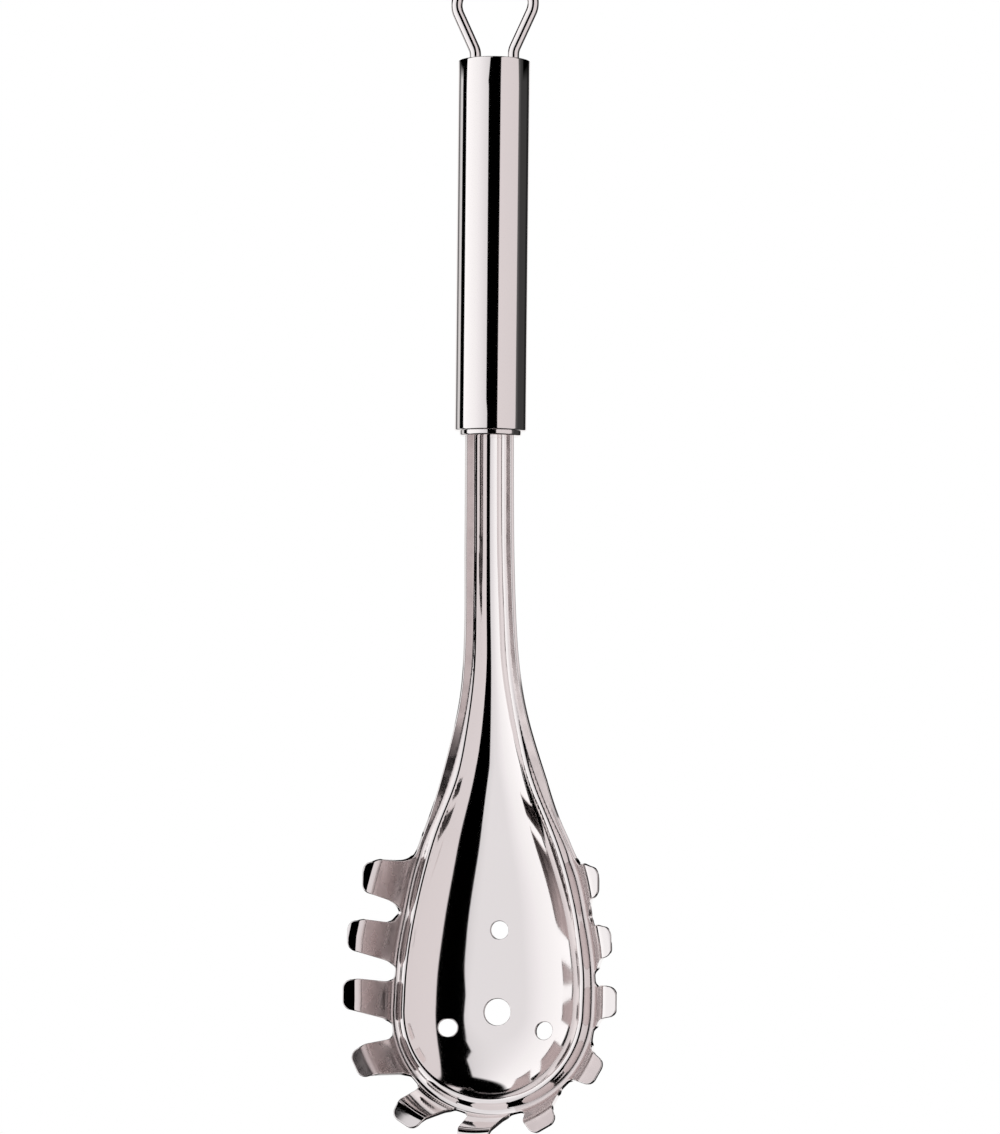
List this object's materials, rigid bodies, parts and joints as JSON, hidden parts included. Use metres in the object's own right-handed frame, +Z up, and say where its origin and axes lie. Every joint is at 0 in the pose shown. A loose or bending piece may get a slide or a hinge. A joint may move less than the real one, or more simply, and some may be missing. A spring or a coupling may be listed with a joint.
{
  "type": "pasta server",
  "caption": "Slotted spoon with teeth round its bowl, a grooved neck, a hollow round handle and a wire loop, for lifting and draining cooked pasta.",
  "frame": {"origin": "the point inside the top of the wire loop that hangs on a hook, on the handle's axis", "axes": "+Z up along the handle's axis, X across the bowl, and the hollow of the bowl and the teeth face -Y"},
  "size_m": [0.0772, 0.0335, 0.328],
  "materials": {
    "polished_sheet": "mirror polished stainless steel sheet",
    "polished_tube": "mirror polished stainless steel tube",
    "polished_cap": "polished stainless steel",
    "polished_wire": "mirror polished stainless steel wire"
  },
  "bodies": {
    "root": {"server_head": "polished_sheet", "handle_tube": "polished_tube", "lower_cap": "polished_cap", "upper_cap": "polished_cap", "hanging_loop": "polished_wire"}
  },
  "joints": []
}
